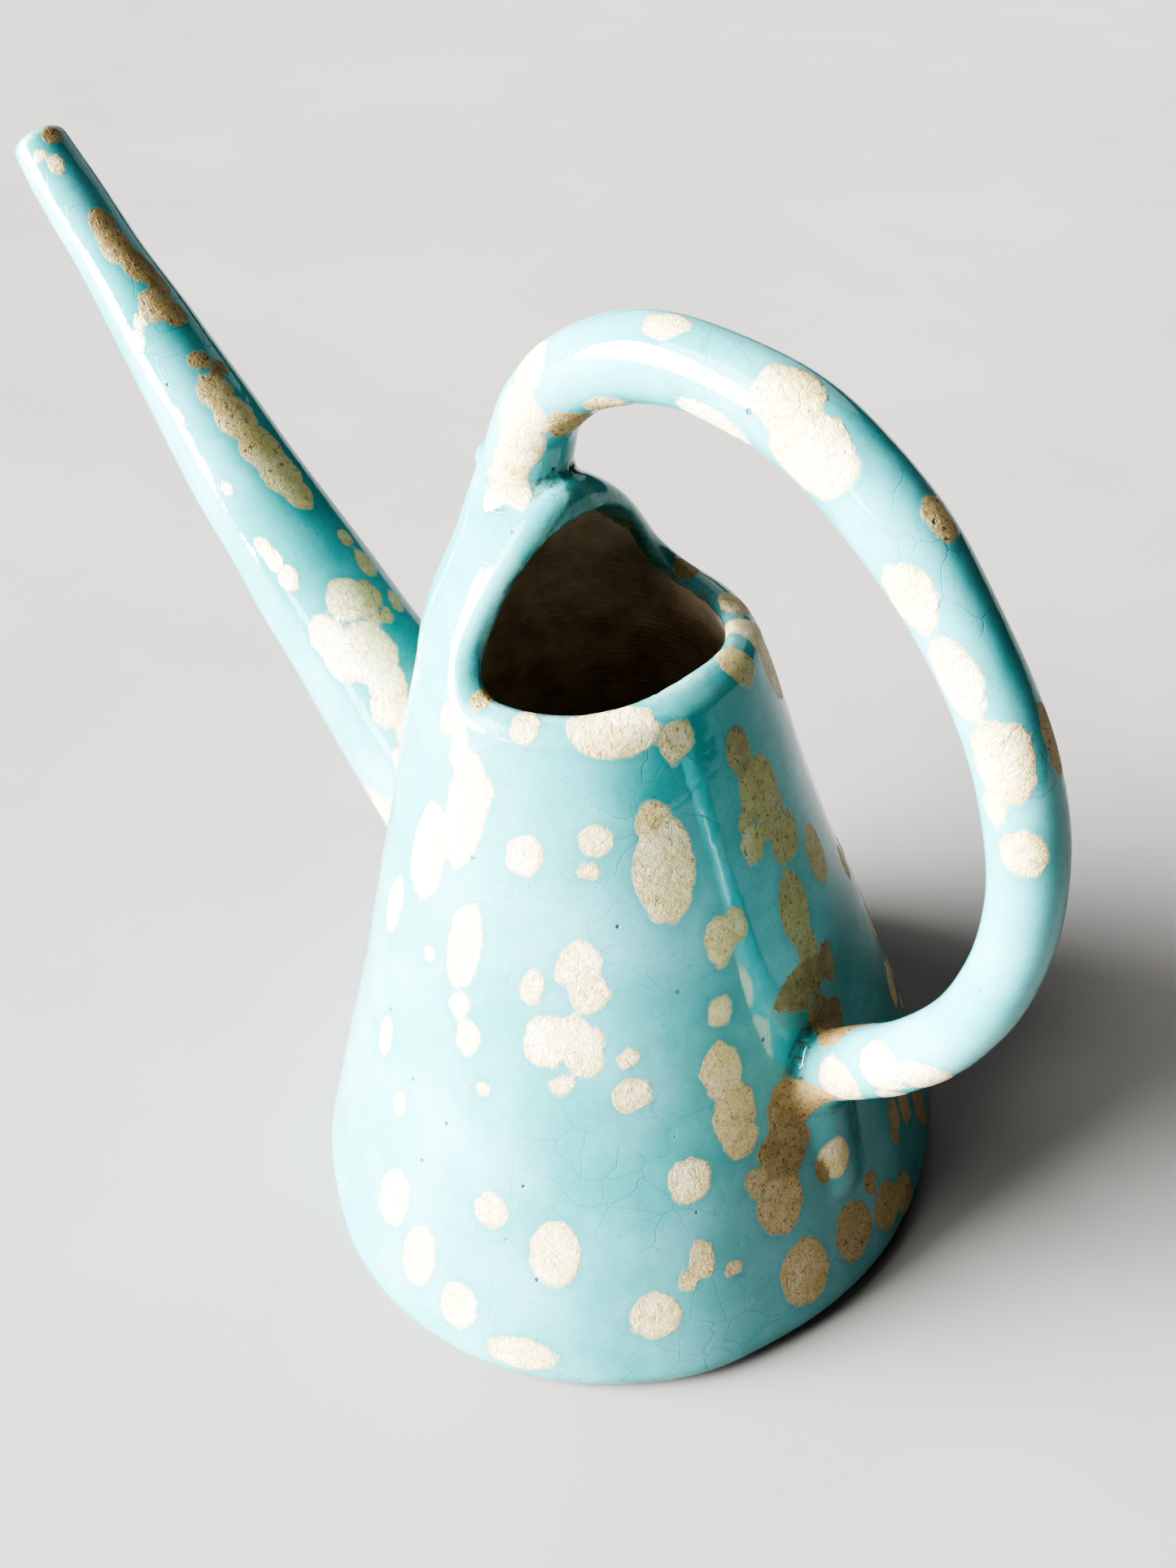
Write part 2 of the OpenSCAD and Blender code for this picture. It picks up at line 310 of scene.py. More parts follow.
def parts(points):
    """Distances from each part of the can, by name."""
    x, y, z = points.T
    out = {}
    out["outer"] = np.maximum(true_distance(outer_slice, x, y, z), z - DOME_TOP)
    hollow = trim(true_distance(inner_slice, x, y, z), FLOOR - z, FLOOR_FILLET)
    out["hollow"] = np.maximum(hollow, z - ARCH_TOP)
    out["mouth"] = mouth(x, y, z)
    out["handle"] = tube_distance(points, handle_line, handle_radius, -1, 4, 50)
    out["tail"] = tube_distance(points, tail_line, tail_radius, 0, 1, 8)
    out["spout"] = tube_distance(points, spout_line, spout_radius, -0.2, 1.06, 16)
    out["bore"] = tube_distance(points, spout_line, bore_radius, -0.24, 1.1, 16)
    uneven = waves(points)
    for face in ("outer", "hollow", "handle", "spout", "bore"):
        out[face] = out[face] + uneven
    tip = np.array([SPOUT[2][0], 0, SPOUT[2][1]], float)
    facing = np.array([SPOUT[2][0] - SPOUT[1][0], 0, SPOUT[2][1] - SPOUT[1][1]], float)
    out["past_tip"] = (points - tip) @ (facing / np.linalg.norm(facing))
    return out


def can_distance(points):
    """Distance from the surface of the whole can."""
    x, _, z = points.T
    d = parts(points)
    high = smoothstep(139, 148, z)
    body = trim(d["outer"], -z, EDGE_ROUND)
    body = trim(body, d["mouth"], 3.4 + 1.6 * high)
    spout = trim(d["spout"], d["past_tip"], 2.1)
    solid = join(body, spout, 4.5)
    fillet = np.where(z > 110, 2.2 + 1.6 * smoothstep(-25, -33, x), 3.2)
    solid = join(solid, d["handle"], fillet)
    solid = join(solid, d["tail"], 4.0)
    solid = trim(solid, -d["hollow"], 3.4 - 2.4 * high)
    solid = trim(solid, -d["bore"], 0.5)
    return solid


# ---------------------------------------------------------------- one skin from the distance


def gradient(points):
    """Direction in which the distance grows, from four samples round each point."""
    step = 0.15
    out = np.zeros_like(points)
    for corner in ((1, -1, -1), (-1, -1, 1), (-1, 1, -1), (1, 1, 1)):
        corner = np.array(corner, float)
        out += corner * can_distance(points + corner * step)[:, None]
    return out / (4 * step)


def curvature(points):
    """How sharply the surface bends, in 1/mm: above zero over an edge, below zero in a hollow."""
    reach = 1.6
    total = -6 * can_distance(points)
    for axis in np.eye(3) * reach:
        total += can_distance(points + axis) + can_distance(points - axis)
    return total / reach ** 2


def in_chunks(function, points, size=400000):
    """Runs a function on a long array a stretch at a time, to keep memory small."""
    return np.concatenate([function(points[i:i + size]) for i in range(0, len(points), size)])


def skin(voxel):
    """The can's surface as points and triangles."""
    low = np.array([-204.0, -86.0, -6.0])
    high = np.array([98.0, 86.0, 216.0])
    ratio = 4
    shape = np.ceil((high - low) / voxel / ratio).astype(int)
    centre = (ratio - 1) / 2
    axes = [low[k] + (np.arange(shape[k]) * ratio + centre) * voxel for k in range(3)]
    coarse_points = np.stack(np.meshgrid(*axes, indexing="ij"), axis=-1).reshape(-1, 3)
    coarse = in_chunks(can_distance, coarse_points).reshape(shape)
    reach = voxel * (ratio * math.sqrt(3) / 2 + 2)
    dense = np.repeat(np.repeat(np.repeat(coarse, ratio, 0), ratio, 1), ratio, 2)
    index = np.argwhere(np.abs(dense) < reach)
    dense = np.clip(dense, -3 * voxel, 3 * voxel)
    values = in_chunks(can_distance, low + index * voxel)
    dense[tuple(index.T)] = values
    grid = openvdb.FloatGrid(3 * voxel)
    grid.copyFromArray(np.ascontiguousarray(dense, dtype=np.float32))
    points, triangles, quads = grid.convertToPolygons(0.0, 0.0)
    points = points.astype(float) * voxel + low
    quads = quads.astype(int)
    triangles = triangles.astype(int).reshape(-1, 3)
    faces = np.concatenate([triangles, quads[:, [0, 1, 2]], quads[:, [0, 2, 3]]])
    return points, faces


def settle(points, faces, rounds):
    """Evens out the points along the surface and draws them on to it exactly."""
    pairs = np.concatenate([faces[:, [0, 1]], faces[:, [1, 2]], faces[:, [2, 0]]])
    pairs = np.concatenate([pairs, pairs[:, ::-1]])
    count = np.bincount(pairs[:, 0], minlength=len(points)).astype(float)
    for turn in range(rounds):
        slope = in_chunks(gradient, points)
        square = np.maximum((slope ** 2).sum(axis=1), 0.04)
        move = in_chunks(can_distance, points) / square
        points = points - slope * np.clip(move, -1.5, 1.5)[:, None]
        if turn < rounds - 1:
            normal = slope / np.sqrt(square)[:, None]
            mean = np.stack([np.bincount(pairs[:, 0], points[pairs[:, 1], k], len(points))
                             for k in range(3)], axis=1) / count[:, None]
            drift = mean - points
            drift -= (drift * normal).sum(axis=1)[:, None] * normal
            points = points + 0.6 * drift
    return points


def cut(points, faces, levels, k, snap):
    """Splits the triangles along the line where column k of levels is zero, so that pieces part cleanly."""
    level = levels[:, k].copy()
    level[np.abs(level) < snap] = 0
    edges = np.concatenate([faces[:, [0, 1]], faces[:, [1, 2]], faces[:, [2, 0]]])
    edges = np.sort(edges[level[edges[:, 0]] * level[edges[:, 1]] < 0], axis=1)
    if not len(edges):
        return points, faces, levels
    first = len(points)
    keys = np.unique(edges[:, 0] * first + edges[:, 1])
    low, high = keys // first, keys % first
    f = (level[low] / (level[low] - level[high]))[:, None]
    fresh = points[low] * (1 - f) + points[high] * f
    fresh_levels = levels[low] * (1 - f) + levels[high] * f

    def middle(p, q):
        return first + np.searchsorted(keys, np.minimum(p, q) * first + np.maximum(p, q))

    sign = np.sign(level[faces])
    out = [faces[(sign.max(axis=1) * sign.min(axis=1)) >= 0]]
    for turn in range(3):
        p, q, r = (faces[:, (turn + j) % 3] for j in range(3))
        sp, sq, sr = np.sign(level[p]), np.sign(level[q]), np.sign(level[r])
        alone = (sp * sq < 0) & (sp * sr < 0)
        u, v, w = p[alone], q[alone], r[alone]
        uv, uw = middle(u, v), middle(u, w)
        out += [np.stack(t, 1) for t in ((u, uv, uw), (uv, v, w), (uv, w, uw))]
        through = (sp == 0) & (sq * sr < 0)
        u, v, w = p[through], q[through], r[through]
        vw = middle(v, w)
        out += [np.stack(t, 1) for t in ((u, v, vw), (u, vw, w))]
    return (np.concatenate([points, fresh]), np.concatenate(out), np.concatenate([levels, fresh_levels]))


# ---------------------------------------------------------------- where the pieces part

PIECES = {
    "clay_base": "base_slab",
    "clay_body_wall": "body_wall",
    "clay_mouth_rim": "rim_lip",
    "clay_hood": "hood",
    "clay_handle_upper_root": "handle_upper_root",
    "clay_handle_loop": "handle_loop",
    "clay_handle_lower_root": "handle_lower_root",
    "clay_handle_tail": "handle_tail",
    "clay_spout_tube": "spout_tube",
    "clay_spout_lip": "spout_lip",
    "clay_spout_collar": "spout_collar",
}
WALL_TOP = 136.0
SLAB_TOP = 8.0
FLOOR_EDGE = 13.0
RIM_END_X = -16.5
LIP_LENGTH = 3.5
COLLAR_REACH = 4.6
# (x, z) where the loop of the handle starts and ends, and which way it runs there
HANDLE_FOOT = (-29, 179)
HANDLE_FOOT_FACING = (0.287, 0.958)
HANDLE_END = (64, 73)
HANDLE_END_FACING = (-0.678, -0.735)
# How far the lower root and the tail reach past the handle's own skin
ROOT_REACH = 4.0
TAIL_REACH = 2.0


def past_plane(points, place, facing):
    """How far past a plane square to y = 0 a point lies."""
    return (points[:, 0] - place[0]) * facing[0] + (points[:, 2] - place[1]) * facing[1]


def seams(points, d):
    """One column for each join: zero along it, and zero wherever that join doesn't reach."""
    x, _, z = points.T
    inside = d["outer"] < -3.0
    on_body = d["outer"] < 3.0
    behind = x < -35
    columns = [
        (z < 30, np.where(inside, z - FLOOR_EDGE, z - SLAB_TOP)),
        (on_body & (z > 125) & (z < 150), z - WALL_TOP),
        ((z > 130) & (z < 160) & (x < 10), x - RIM_END_X),
        ((z > 155) & (z < 175) & (x < 0), z - ARCH_TOP),
        ((x < 0) & (z > 165), past_plane(points, HANDLE_FOOT, HANDLE_FOOT_FACING)),
        ((x > 45) & (z < 95) & (d["handle"] < 3), past_plane(points, HANDLE_END, HANDLE_END_FACING)),
        ((x > 30) & (z < 90) & ~inside, d["handle"] - ROOT_REACH),
        ((x > 30) & (z < 60) & ~inside, d["tail"] - TAIL_REACH),
        (behind & (z < 130) & ~inside, d["spout"] - COLLAR_REACH),
        (behind & ~inside & (d["spout"] < 3), d["outer"] - COLLAR_REACH),
        (x < -150, d["past_tip"] + LIP_LENGTH),
        (behind & (d["outer"] < -0.5), d["bore"] - 1.0),
    ]
    return np.stack([np.where(zone, value, 0) for zone, value in columns], axis=1)


def label(points):
    """The name of the piece that each point belongs to."""
    d = parts(points)
    x, _, z = points.T
    inside = d["outer"] < -3.0
    name = np.full(len(points), "clay_body_wall", dtype=object)
    name[np.where(inside, z < FLOOR_EDGE, z < SLAB_TOP)] = "clay_base"
    above = (z > WALL_TOP) & (d["outer"] < 3.0)
    name[above & (x > RIM_END_X)] = "clay_mouth_rim"
    name[above & (x <= RIM_END_X)] = "clay_hood"
    name[(z > ARCH_TOP) & (x < 0)] = "clay_handle_upper_root"
    outside_tube = (d["handle"] < 2.0) & ~inside
    past_start = (x > 0) | (past_plane(points, HANDLE_FOOT, HANDLE_FOOT_FACING) > 0)
    before_end = past_plane(points, HANDLE_END, HANDLE_END_FACING) < 0
    name[(d["handle"] < ROOT_REACH) & ~inside & (x > 30) & ~before_end] = "clay_handle_lower_root"
    name[outside_tube & (z > 60) & past_start & before_end & (d["outer"] > 5)] = "clay_handle_loop"
    tail = (d["tail"] < TAIL_REACH) & ~inside & (d["handle"] >= ROOT_REACH) & (x > 30)
    name[tail & (z > SLAB_TOP)] = "clay_handle_tail"
    behind = (x < -35) & ~inside & (z < 200)
    near_spout = d["spout"] < COLLAR_REACH
    name[behind & near_spout & (d["outer"] < COLLAR_REACH) & (z < 130)] = "clay_spout_collar"
    name[behind & (d["spout"] < 3) & (d["outer"] >= COLLAR_REACH) & (x < -60)] = "clay_spout_tube"
    name[(x < -35) & (d["bore"] < 1.0) & (d["hollow"] > 0.3)] = "clay_spout_tube"
    name[(x < -150) & (d["past_tip"] > -LIP_LENGTH)] = "clay_spout_lip"
    return name


# ---------------------------------------------------------------- patches of matte cream glaze

# On the body: angle round it in degrees (0 toward the handle), height, half width, half height,
# and how brown it is from 0 to 1, partly the patch's own tone and partly painted shade
BODY_PATCHES = [
    (-48, 120.5, 3, 3, 0.2), (-50, 114.5, 2, 1.6, 0.3), (-30, 113.5, 6, 11, 0.4), (-31, 123, 3.6, 4, 0.6),
    (-19, 97, 3, 5.3, 0.4), (-14, 98.5, 2.2, 4, 0.4), (-22, 83, 2.7, 3.3, 0.3), (-53.5, 96, 4, 5.5, 0.1),
    (-51.5, 90.5, 3.6, 4, 0.1), (-57, 95, 2, 3, 0.1), (-65, 90.5, 2.4, 3.8, 0.1), (-61.5, 80, 4.4, 5.5, 0.1),
    (-53, 79, 3.9, 5.4, 0.2), (-55, 84, 3, 2, 0.1), (-58, 71.5, 2.4, 2, 0.3), (-43.5, 77.5, 2.2, 2.1, 0.2),
    (-43.5, 69.5, 3.7, 3.9, 0.3), (-67.5, 116, 3.4, 4.2, 0), (-24, 70.5, 4.3, 6.5, 0.4),
    (-22.5, 60, 4.9, 7.5, 0.5), (-22, 54, 4, 4, 0.4), (-10, 55, 5.6, 7, 0.9), (-13, 46, 7, 7.5, 0.9),
    (-16, 35, 6, 8, 0.7), (-20, 43, 3, 3.6, 0.7), (-33.5, 49, 4.5, 5.4, 0.2), (-59.5, 34, 5.2, 8, 0.1),
    (-72, 40.5, 3.4, 4, 0.1), (4, 68, 3.4, 5, 1), (9, 64, 3, 5, 1),
    (-42, 19.5, 5.3, 5.6, 0.2), (-33, 30.5, 2.9, 4.6, 0.4), (-36, 26.5, 2.1, 2.4, 0.4),
    (-27.5, 26, 1.8, 1.6, 0.3), (-14, 16, 6.4, 8.5, 0.6), (-2, 16, 5.6, 7.5, 0.8),
    (5, 22, 2, 2.8, 0.8), (7, 13, 5, 6, 0.8), (13, 9, 4, 6, 0.8), (23, 24, 3, 6, 0.8),
    (18, 27, 2.4, 4, 0.8), (30, 15, 4, 8, 0.8), (16, 23, 1.6, 2.6, 0.8),
    (-3, 37, 4, 5.5, 0.1), (-5, 36, 2.4, 4, 1),
    (5, 120, 5.5, 6.5, 0.8), (10, 107, 5, 5.5, 0.8), (7, 113.5, 4.5, 6, 0.8), (1, 129, 3, 5, 0.9),
    (-3.5, 116, 2, 2.8, 0.8), (-3, 111, 2.8, 3.8, 0.7), (5, 93, 4.5, 9, 0.8), (6, 83, 3.5, 5, 0.8),
    (-4, 79, 0.9, 1.2, 0.7), (1, 79, 1.3, 1.6, 0.8), (22, 96, 4, 7, 0.7), (12, 76, 2.5, 5, 1),
    (-91, 132, 2.2, 4, 0), (-87, 120, 4.6, 12, 0), (-83, 124, 3, 5, 0), (-100, 107, 5, 11, 0),
    (-84, 93.5, 4, 9.5, 0), (-84, 81, 2.3, 2.6, 0), (-81, 75, 2.7, 3.8, 0), (-95, 87, 1.3, 1.6, 0),
    (-76, 66, 1.5, 1.4, 0.1), (-95.5, 28.5, 4.6, 7.5, 0.1), (-87, 20.5, 4.2, 8, 0.1),
    (-77.5, 15, 4.2, 6.2, 0.1), (-65, 9, 7.5, 4, 0.2), (-107, 60, 2.5, 5, 0), (-98, 50, 1.8, 2.6, 0.1),
    (-113, 88, 3, 7, 0), (-20, 136, 3.4, 3.8, 0.5), (-97, 135, 2.5, 3, 0),
]
# On the rim and the hood: x, y, z, half width round the can, reach over the edge, and brownness (partly
# painted shade)
RIM_PATCHES = [
    (8, -20, 139, 8.2, 2, 0.3), (-5, -29.5, 138.5, 2.4, 0.2, 0.3), (-15.5, -30, 139, 1.8, -0.6, 0.9),
    (14.5, 9, 141, 4.2, 1.6, 0.6), (0, 26.5, 140.5, 4.5, 0.6, 0.4), (-15, 29.5, 141, 3, 0.4, 1),
]
# Along the handle: place, angle round it (270 on the -Y side, 180 outside), half width, half length,
# and brownness, partly the patch's own tone and partly painted shade
HANDLE_PATCHES = [
    (0.32, 225, 4.5, 5, 0.1), (0.17, 272, 5.5, 6, 0.3), (0.02, 290, 4.6, 6.5, 0.3),
    (-0.22, 284, 3.8, 4, 0.4), (-0.36, 286, 4, 3.8, 0.4),
    (0.77, 200, 2.8, 4, 0.4), (0.55, 325, 2.4, 5, 0.7), (0.3, 340, 4.5, 4.5, 0.9),
    (0.93, 300, 2.6, 7, 0.2), (1.05, 215, 5, 5.5, 0.3),
    (1.14, 250, 6, 7.5, 0.2), (1.33, 180, 2.5, 4, 0.8),
    (1.4, 270, 4.5, 5.5, 0.1), (1.53, 265, 4, 7, 0.1), (1.67, 245, 5, 7, 0.3), (1.67, 165, 2.5, 6, 0.8),
    (1.82, 243, 3.5, 4, 0.2), (1.74, 275, 2, 3, 0.1), (2.9, 285, 5.5, 5, 0.1), (2.75, 240, 5, 5, 0.1),
    (3.3, 270, 6, 5, 0.3), (3.35, 10, 5, 5, 1), (2.97, 225, 3, 3, 0.2),
    (0.5, 100, 4, 7, 0.3), (0.9, 60, 4, 6, 0.3), (1.25, 95, 5, 8, 0.3), (1.6, 70, 4, 6, 0.4),
    (1.95, 110, 4.5, 7, 0.2), (2.3, 60, 4, 5, 0.3), (2.6, 120, 4, 6, 0.2), (0.15, 80, 5, 6, 0.3),
]
# Along the spout: place, angle round it (270 on the -Y side, 0 above), half width, half length,
# and brownness, partly the patch's own tone and partly painted shade
SPOUT_PATCHES = [
    (0.98, 0, 2.2, 2.4, 0.9), (0.94, 335, 1.6, 2.2, 0.4), (0.96, 318, 1, 1, 0.6),
    (0.84, 352, 3, 3.6, 1), (0.81, 350, 4, 5, 0.9), (0.77, 2, 3.4, 4.5, 1), (0.74, 12, 2.6, 4, 1),
    (0.71, 352, 4, 4.2, 0.9), (0.69, 5, 3.2, 3.2, 1), (0.7, 318, 1.2, 1.5, 0.1), (0.68, 302, 1.6, 2, 0),
    (0.62, 358, 2.4, 2.4, 1), (0.6, 16, 2, 2, 1), (0.57, 352, 4, 4.5, 0.8), (0.53, 356, 4.8, 5.5, 0.7),
    (0.48, 1, 5.2, 6, 0.7), (0.44, 4, 4.8, 6, 0.6), (0.41, 6, 3.6, 4.4, 0.6), (0.33, 22, 1.8, 2.2, 0.6),
    (0.29, 24, 2.6, 3.6, 0.5), (0.26, 344, 4.6, 5.2, 0.1), (0.25, 4, 3.4, 3.6, 0.7), (0.23, 356, 2, 2.4, 0.5),
    (0.22, 6, 2, 2, 0.7), (0.23, 27, 2, 3, 0.5), (0.19, 335, 6.2, 7.5, 0), (0.23, 313, 4.2, 6, 0),
    (0.2, 312, 3.6, 5, 0), (0.15, 334, 4.4, 5, 0), (0.37, 306, 1.6, 2.4, 0), (0.35, 308, 2, 3, 0),
    (0.32, 312, 2.2, 3, 0), (0.12, 320, 3, 4, 0), (0.1, 340, 2, 3, 0), (0.08, 330, 4, 5, 0),
    (0.05, 315, 4, 5, 0), (0.46, 306, 1.2, 1.6, 0), (0.57, 300, 1, 2, 0),
]
HIDDEN_SIDE = (38, 222)
HIDDEN_COUNT = 60
HIDDEN_SPOUT_SIDE = (60, 250)
HIDDEN_SPOUT_COUNT = 14


def hidden_patches():
    """Patches for the far side of the body, spread by chance but well apart."""
    rng = np.random.default_rng(5)
    out = []
    while len(out) < HIDDEN_COUNT:
        angle = rng.uniform(*HIDDEN_SIDE)
        z = rng.uniform(10, 134)
        half = 1.2 + 5 * rng.uniform(0, 1) ** 1.6
        tall = half * rng.uniform(1.0, 2.2)
        brown_and_shade = rng.uniform(0, 0.6)
        here = body_place(angle, z)[0]
        if all(np.linalg.norm(here - body_place(a, h)[0]) > 0.8 * (tall + t) for a, h, w, t, b in out):
            out.append((angle, z, half, tall, brown_and_shade))
    return out


def hidden_spout_patches():
    """Patches for the far side of the spout, spread by chance but well apart."""
    rng = np.random.default_rng(11)
    out = []
    while len(out) < HIDDEN_SPOUT_COUNT:
        s = rng.uniform(0.08, 0.92)
        angle = rng.uniform(*HIDDEN_SPOUT_SIDE)
        half = rng.uniform(1.6, 5.0) * spout_radius(s) / SPOUT_RADIUS
        tall = half * rng.uniform(1.2, 2.0)
        brown_and_shade = rng.uniform(0.1, 0.6)
        here = tube_place(spout_line, spout_radius, s, angle)[0]
        places = [tube_place(spout_line, spout_radius, other[0], other[1])[0] for other in out]
        if all(np.linalg.norm(here - place) > tall + other[3] for place, other in zip(places, out)):
            out.append((s, angle, half, tall, brown_and_shade))
    return out


def body_place(angle, z):
    """A point on the body with its directions around, up and outward, and the radius there."""
    def at(a, h):
        a = math.radians(a)
        r = wall_radius(h)
        return np.array([-LEAN * h + r * (1 - oval_at(h)) * math.cos(a),
                         r * (1 + oval_at(h)) * math.sin(a), h])
    around = at(angle + 0.5, z) - at(angle - 0.5, z)
    up = at(angle, z + 0.5) - at(angle, z - 0.5)
    around /= np.linalg.norm(around)
    up /= np.linalg.norm(up)
    return at(angle, z), around, up, np.cross(around, up), wall_radius(z)


def tube_place(line, radius, t, angle):
    """The same for a point on the handle or the spout."""
    t = np.array([float(t)])
    a = math.radians(angle)
    centre = line(t)[0]
    ahead = line(t + 0.01)[0] - line(t - 0.01)[0]
    ahead /= np.linalg.norm(ahead)
    side = np.array([ahead[1], 0, -ahead[0]])
    outward = side * math.cos(a) + np.array([0, math.sin(a), 0])
    along = np.array([ahead[0], 0, ahead[1]])
    r = float(radius(t)[0])
    place = np.array([centre[0], 0, centre[1]]) + outward * r
    return place, np.cross(along, outward), along, outward, r


def add_patch(points, place, half, tall, brown_and_shade, field, tone):
    """Raises field, the depth inside a patch in mm, over one patch, and sets its tone."""
    origin, around, up, outward, radius = place
    gap = points - origin
    near = (gap ** 2).sum(axis=1) < (2 * max(half, tall) + 6) ** 2
    gap = gap[near]
    n = gap @ outward
    u = radius * np.arctan2(gap @ around, np.maximum(radius + n, 0.2 * radius))
    v = gap @ up
    q = np.hypot(u / half, v / tall)
    depth = (1 - q) * math.sqrt(half * tall) - np.maximum(-n - 0.9 * radius, 0)
    better = depth > field[near]
    where = np.flatnonzero(near)[better]
    field[where] = depth[better]
    tone[where] = brown_and_shade


def add_rim_patch(points, patch, field, tone):
    """A patch that wraps over the edge of the mouth."""
    x, y, z, half, reach, brown_and_shade = patch
    origin = np.array([x, y, z], float)
    around = np.array([-y, x + LEAN * z, 0.0])
    around /= np.linalg.norm(around)
    gap = points - origin
    u = gap @ around
    across = np.sqrt(np.maximum((gap ** 2).sum(axis=1) - u * u, 0))
    depth = (1 - np.hypot(u / half, across / (reach + 3))) * math.sqrt(half * (reach + 3))
    better = depth > field
    field[better] = depth[better]
    tone[better] = brown_and_shade


def patch_field(points):
    """For every point, how deep it lies inside a cream patch in mm, and how brown that patch is, partly its
    own tone and partly painted shade.
    """
    field = np.full(len(points), -12.0)
    tone = np.zeros(len(points))
    for angle, z, half, tall, brown_and_shade in BODY_PATCHES + hidden_patches():
        add_patch(points, body_place(angle, z), half, tall, brown_and_shade, field, tone)
    for t, angle, half, tall, brown_and_shade in HANDLE_PATCHES:
        place = tube_place(handle_line, handle_radius, t, angle)
        add_patch(points, place, half, tall, brown_and_shade, field, tone)
    for s, angle, half, tall, brown_and_shade in SPOUT_PATCHES + hidden_spout_patches():
        place = tube_place(spout_line, spout_radius, s, angle)
        add_patch(points, place, half, tall, brown_and_shade, field, tone)
    for patch in RIM_PATCHES:
        add_rim_patch(points, patch, field, tone)
    return field, tone


def bare_field(points, d):
    """How far a point lies past the edge of the glaze, in mm: the inside and the foot are bare."""
    z = points[:, 2]
    inside = np.minimum(-d["mouth"] - 3.2, 2 * (-d["outer"] - 4.2))
    bore = np.minimum(6 * (-d["spout"] - 1.3), -d["past_tip"] - 1.6)
    foot = 0.9 - z - 0.25 * np.maximum(d["outer"] + 5, 0)
    return np.clip(np.maximum(np.maximum(inside, bore), foot), -8, 8)


# ---------------------------------------------------------------- meshes


VOXEL = 1.2
SETTLE_ROUNDS = 3
SNAP = 0.12
PATCH_RELIEF = 0.07


def make_piece(name, points, faces, normals, fields, material):
    """One piece of the can as a Blender object, in metres, riding on the root body."""
    used, inverse = np.unique(faces, return_inverse=True)
    local = inverse.reshape(-1, 3)
    mesh = bpy.data.meshes.new(name)
    mesh.vertices.add(len(used))
    mesh.vertices.foreach_set("co", (points[used] * MM).astype(np.float32).ravel())
    mesh.loops.add(local.size)
    mesh.loops.foreach_set("vertex_index", local.astype(np.int32).ravel())
    mesh.polygons.add(len(local))
    mesh.polygons.foreach_set("loop_start", np.arange(0, local.size, 3, dtype=np.int32))
    mesh.polygons.foreach_set("use_smooth", np.ones(len(local), dtype=bool))
    mesh.update(calc_edges=True)
    mesh.validate()
    for key, values in fields.items():
        attribute = mesh.attributes.new(key, "FLOAT", "POINT")
        attribute.data.foreach_set("value", values[used].astype(np.float32))
    mesh.normals_split_custom_set_from_vertices(normals[used].astype(np.float32).tolist())
    mesh.materials.append(material)
    obj = bpy.data.objects.new(name, mesh)
    bpy.context.scene.collection.objects.link(obj)
    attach(obj, "root")
    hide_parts(PIECES[name])
    return obj


def build_can(material):
    """Works out the skin, parts it along the joins and makes the pieces."""
    points, faces = skin(VOXEL)
    volume = np.einsum("ij,ij->i", points[faces[:, 0]], np.cross(points[faces[:, 1]], points[faces[:, 2]]))
    if volume.sum() < 0:
        faces = faces[:, ::-1]
    points = settle(points, faces, SETTLE_ROUNDS)
    levels = seams(points, parts(points))
    for k in range(levels.shape[1]):
        points, faces, levels = cut(points, faces, levels, k, SNAP)
    normals = in_chunks(gradient, points)
    normals /= np.linalg.norm(normals, axis=1)[:, None]
    d = parts(points)
    field, tone = patch_field(points)
    fields = {"patch": field, "brown_and_shade": tone, "bare": bare_field(points, d),
              "curve": in_chunks(curvature, points)}
    relief = PATCH_RELIEF * smoothstep(-0.8, 0.8, field) * (fields["bare"] < 0)
    points = points + normals * relief[:, None]
    names = label(points[faces].mean(axis=1))
    for name in PIECES:
        make_piece(name, points, faces[names == name], normals, fields, material)


# ---------------------------------------------------------------- materials


class Nodes:
    """Short calls for building a node tree."""

    def __init__(self, material):
        self.tree = material.node_tree
        self.tree.nodes.clear()

    def add(self, kind, inputs=(), **settings):
        node = self.tree.nodes.new(kind)
        for key, value in settings.items():
            setattr(node, key, value)
        for key, value in dict(inputs).items():
            if isinstance(value, bpy.types.NodeSocket):
                self.tree.links.new(value, node.inputs[key])
            else:
                node.inputs[key].default_value = value
        return node

    def math(self, operation, a, b=0.0, clamp=False):
        node = self.add("ShaderNodeMath", {0: a, 1: b}, operation=operation, use_clamp=clamp)
        return node.outputs[0]

    def ramp(self, value, low, high):
        node = self.add("ShaderNodeMapRange", {"Value": value, "From Min": low, "From Max": high},
                        interpolation_type="SMOOTHSTEP")
        return node.outputs["Result"]

    def mix(self, factor, a, b, blend="MIX"):
        node = self.add("ShaderNodeMix", data_type="RGBA", blend_type=blend)
        for key, value in ((0, factor), (6, a), (7, b)):
            if isinstance(value, bpy.types.NodeSocket):
                self.tree.links.new(value, node.inputs[key])
            else:
                node.inputs[key].default_value = value
        return node.outputs[2]

    def noise(self, where, scale, detail=3.0, roughness=0.55, distortion=0.0):
        node = self.add("ShaderNodeTexNoise", {"Vector": where, "Scale": scale, "Detail": detail,
                                               "Roughness": roughness, "Distortion": distortion})
        return node.outputs["Fac"]

    def voronoi(self, where, scale, feature, randomness=1.0):
        return self.add("ShaderNodeTexVoronoi", {"Vector": where, "Scale": scale, "Randomness": randomness},
                        feature=feature)

    def attribute(self, name):
        return self.add("ShaderNodeAttribute", attribute_name=name).outputs["Fac"]


